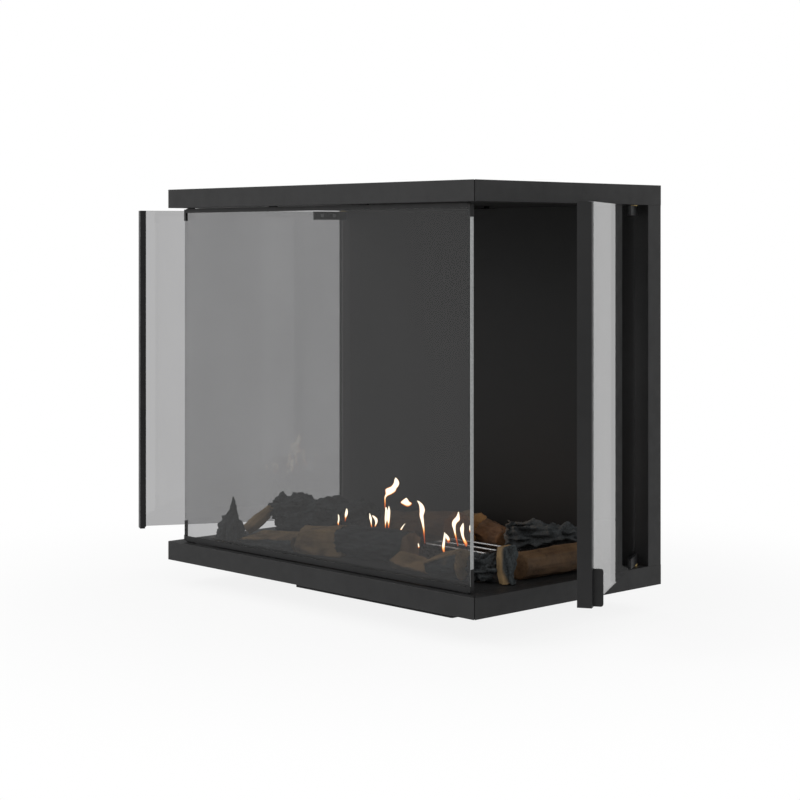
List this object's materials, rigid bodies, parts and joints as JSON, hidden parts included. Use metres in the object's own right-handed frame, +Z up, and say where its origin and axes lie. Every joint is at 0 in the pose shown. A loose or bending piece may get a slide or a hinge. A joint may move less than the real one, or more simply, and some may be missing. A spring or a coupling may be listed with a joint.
{
  "type": "three-sided fireplace",
  "caption": "Built-in gas fire with glass on three sides, two hinged side doors of glass, a fixed front pane and a bed of moulded logs over a burner.",
  "frame": {"origin": "middle of the fire's width and depth, on the surface that the base stands on", "axes": "+X to the viewer's right along the front pane, +Y to the rear, +Z up"},
  "size_m": [1.2253, 0.484, 0.768],
  "materials": {
    "frame_black": "satin powder coat",
    "sheet_black": "matt heat-resistant paint",
    "liner_black": "satin black enamel",
    "insulation": "matt pressed board",
    "flue_steel": "plain steel",
    "pane_glass": "tinted, polished",
    "door_glass": "tinted, polished",
    "strip_black": "satin powder coat",
    "door_black": "satin powder coat",
    "seal_rope": "flat woven glass rope",
    "shoe_steel": "satin black",
    "screw_steel": "blackened",
    "bush_brass": "turned",
    "burner_steel": "heat-marked steel",
    "ember_granules": "loose granules",
    "rod_steel": "bright drawn rod",
    "valve_alloy": "cast",
    "pipe_brass": "drawn tube and turned ends",
    "control_plastic": "moulded",
    "log_bark_dark": "moulded charred bark",
    "log_bark_grey": "moulded ashy bark",
    "log_wood_tan": "moulded split wood",
    "log_wood_brown": "moulded bark and wood"
  },
  "bodies": {
    "firebox": {"back_insulation": "insulation", "back_liner": "liner_black", "base_box": "sheet_black", "burner_tray": "burner_steel", "ceiling_plate": "sheet_black", "control_box": "control_plastic", "ember_bed": "ember_granules", "floor_plate": "sheet_black", "flue_baffle": "liner_black", "flue_collars": "flue_steel", "front_bottom_bar": "frame_black", "front_pane": "pane_glass", "front_top_bar": "frame_black", "gas_pipes": "pipe_brass", "gas_valve": "valve_alloy", "left_bottom_bar": "frame_black", "left_top_bar": "frame_black", "log_back_brown": "log_wood_brown", "log_centre_bark": "log_bark_dark", "log_front_block": "log_wood_tan", "log_front_left_split": "log_wood_tan", "log_grey_chunk": "log_bark_grey", "log_jagged_stump": "log_bark_dark", "log_low_split": "log_wood_tan", "log_rack": "rod_steel", "log_rear_brown": "log_wood_brown", "log_rear_left_bark": "log_bark_dark", "log_rear_split": "log_wood_tan", "log_right_bark": "log_bark_grey", "log_right_long": "log_wood_brown", "log_right_split": "log_wood_tan", "log_small_dark": "log_bark_dark", "log_tan_stick": "log_wood_tan", "log_thin_split": "log_wood_tan", "log_upright_end": "log_wood_tan", "pane_clips": "strip_black", "pane_rail": "strip_black", "pane_top_strip": "strip_black", "pilot_burner": "burner_steel", "pivot_bushes": "bush_brass", "rear_bars": "frame_black", "rear_casing": "sheet_black", "rear_posts": "frame_black", "right_bottom_bar": "frame_black", "right_top_bar": "frame_black", "top_plate": "sheet_black"},
    "left_door": {"left_door_glass": "door_glass", "left_stile": "door_black", "left_stile_seal": "seal_rope", "left_pull_tab": "door_black", "left_bottom_shoe": "shoe_steel", "left_top_shoe": "shoe_steel", "left_shoe_screws": "screw_steel"},
    "right_door": {"right_door_glass": "door_glass", "right_stile": "door_black", "right_stile_seal": "seal_rope", "right_pull_tab": "door_black", "right_bottom_shoe": "shoe_steel", "right_top_shoe": "shoe_steel", "right_shoe_screws": "screw_steel"}
  },
  "joints": [
    {"name": "left_door_hinge", "type": "hinge", "parent": "firebox", "child": "left_door", "pos_m": [-0.3925, 0.197, 0.082], "axis": [0, 0, -1], "range_deg": [-28, 62]},
    {"name": "right_door_hinge", "type": "hinge", "parent": "firebox", "child": "right_door", "pos_m": [0.3925, 0.197, 0.082], "axis": [0, 0, 1], "range_deg": [-30, 60]}
  ]
}
